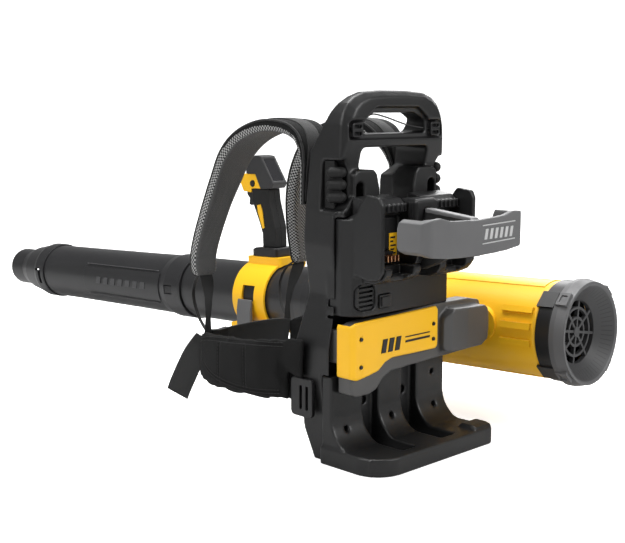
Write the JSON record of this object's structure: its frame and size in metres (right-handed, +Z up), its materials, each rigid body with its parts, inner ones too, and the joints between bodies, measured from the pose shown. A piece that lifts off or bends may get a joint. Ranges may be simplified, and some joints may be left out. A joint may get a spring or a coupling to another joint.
{
  "type": "backpack leaf blower",
  "caption": "Battery leaf blower worn as a backpack: a carrying frame with straps and battery bays, and an axial fan tube with a pistol grip on a tilting arm.",
  "frame": {"origin": "ground level under the middle of the carrying frame, on the plane of its main rear face", "axes": "+X to the wearer's right, where the blower hangs; +Y forward, the way the wearer faces and the air leaves; +Z up"},
  "size_m": [0.4801, 1.5586, 0.5065],
  "materials": {
    "frame_plastic": "fine moulded texture",
    "dock_plastic": "fine moulded texture",
    "dark_plastic": "satin moulded",
    "tube_plastic": "semi-gloss extruded",
    "yellow_plastic": "semi-gloss moulded",
    "grey_plastic": "fine moulded texture",
    "rubber": "soft matte",
    "steel": "machined",
    "dark_steel": "black oxide",
    "copper": "wound copper and plated contacts",
    "board": "solder mask",
    "mesh_fabric": "spacer mesh and nylon",
    "nylon_fabric": "coated nylon",
    "webbing": "woven webbing",
    "screen": "gloss"
  },
  "bodies": {
    "frame": {"back_frame": "frame_plastic", "back_pad": "mesh_fabric", "base_foot": "frame_plastic", "battery_bumper": "grey_plastic", "battery_dock": "dock_plastic", "battery_rails": "dark_plastic", "battery_trays": "dark_plastic", "belt_buckle": "dark_plastic", "belt_loops": "dark_plastic", "control_board": "board", "cover_screws": "dark_steel", "dock_tab": "dock_plastic", "foot_screws": "dark_steel", "frame_rear_panel": "frame_plastic", "grip_bumpers": "rubber", "harness_webbing": "webbing", "hip_belt_left": "nylon_fabric", "hip_belt_right": "nylon_fabric", "pivot_pin": "steel", "power_cable": "rubber", "shoulder_strap_left": "mesh_fabric", "shoulder_strap_right": "mesh_fabric", "strap_adjusters": "dark_plastic", "support_arm": "grey_plastic", "terminal_blocks": "dark_plastic", "terminal_pins": "copper", "vent_grille": "dark_plastic", "yellow_cover": "yellow_plastic"},
    "blower": {"intake_collar": "dark_plastic", "housing_left": "yellow_plastic", "housing_right": "yellow_plastic", "motor_pod": "dark_plastic", "motor_stator": "copper", "motor_bearings": "steel", "tail_cone": "dark_plastic", "bearing_plate": "dark_plastic", "rear_tube": "tube_plastic", "duct_seal": "rubber"},
    "guard": {"intake_guard": "grey_plastic"},
    "fan": {"impeller": "dark_plastic", "motor_rotor": "steel"},
    "front_tube_body": {"front_tube": "tube_plastic"},
    "tube_lock": {"tube_lock_button": "dark_plastic"},
    "nozzle_body": {"nozzle": "tube_plastic"},
    "clamp_carriage": {"clamp_liner": "dark_plastic"},
    "handle": {"clamp_ring": "yellow_plastic", "clamp_pin": "steel", "clamp_screws": "steel", "handle_base": "dark_plastic", "grip_left": "rubber", "grip_right": "rubber", "grip_inserts": "yellow_plastic", "control_pod": "grey_plastic", "pod_screen": "screen", "nose_cap": "yellow_plastic", "trigger_pin": "steel"},
    "lever": {"clamp_lever": "grey_plastic"},
    "trigger_body": {"trigger": "dark_plastic"},
    "speed_control": {"speed_button": "dark_plastic"},
    "lock_control": {"lock_button": "dark_plastic"}
  },
  "joints": [
    {"name": "blower_tilt", "type": "hinge", "parent": "frame", "child": "blower", "pos_m": [0.1815, -0.02161, 0.1599], "axis": [0.9997, 0.0244, 0], "range_deg": [-20, 12]},
    {"name": "intake_guard_twist", "type": "hinge", "parent": "blower", "child": "guard", "pos_m": [0.26066, -0.14986, 0.15213], "axis": [-0.0244, 0.9991, -0.0349], "range_deg": [0, 20]},
    {"name": "fan_spin", "type": "hinge", "parent": "blower", "child": "fan", "pos_m": [0.257, 0, 0.1469], "axis": [-0.0244, 0.9991, -0.0349], "continuous": true},
    {"name": "front_tube_twist", "type": "hinge", "parent": "blower", "child": "front_tube_body", "pos_m": [0.23942, 0.71935, 0.12177], "axis": [-0.0244, 0.9991, -0.0349], "range_deg": [0, 25]},
    {"name": "tube_lock_press", "type": "slide", "parent": "front_tube_body", "child": "tube_lock", "axis": [0.9997, 0.0244, 0], "range_m": [0, 0.0015]},
    {"name": "nozzle_twist", "type": "hinge", "parent": "front_tube_body", "child": "nozzle_body", "pos_m": [0.22745, 1.2089, 0.10467], "axis": [-0.0244, 0.9991, -0.0349], "range_deg": [0, 30]},
    {"name": "handle_slide", "type": "slide", "parent": "blower", "child": "clamp_carriage", "axis": [-0.0244, 0.9991, -0.0349], "range_m": [-0.03, 0.15]},
    {"name": "handle_turn", "type": "hinge", "parent": "clamp_carriage", "child": "handle", "pos_m": [0.24447, 0.51253, 0.129], "axis": [-0.0244, 0.9991, -0.0349], "range_deg": [-20, 20]},
    {"name": "clamp_lever_open", "type": "hinge", "parent": "handle", "child": "lever", "pos_m": [0.17452, 0.51001, 0.07699], "axis": [-0.0244, 0.9991, -0.0349], "range_deg": [-70, 0]},
    {"name": "trigger_squeeze", "type": "hinge", "parent": "handle", "child": "trigger_body", "pos_m": [0.24325, 0.56265, 0.33237], "axis": [0.9997, 0.0244, 0], "range_deg": [-12, 0], "stiffness_Nm_per_rad": 0.3},
    {"name": "speed_button_press", "type": "slide", "parent": "handle", "child": "speed_control", "axis": [0.9997, 0.0244, 0], "range_m": [0, 0.0015]},
    {"name": "lock_button_press", "type": "slide", "parent": "handle", "child": "lock_control", "axis": [-0.9997, -0.0244, 0], "range_m": [0, 0.0015]}
  ]
}
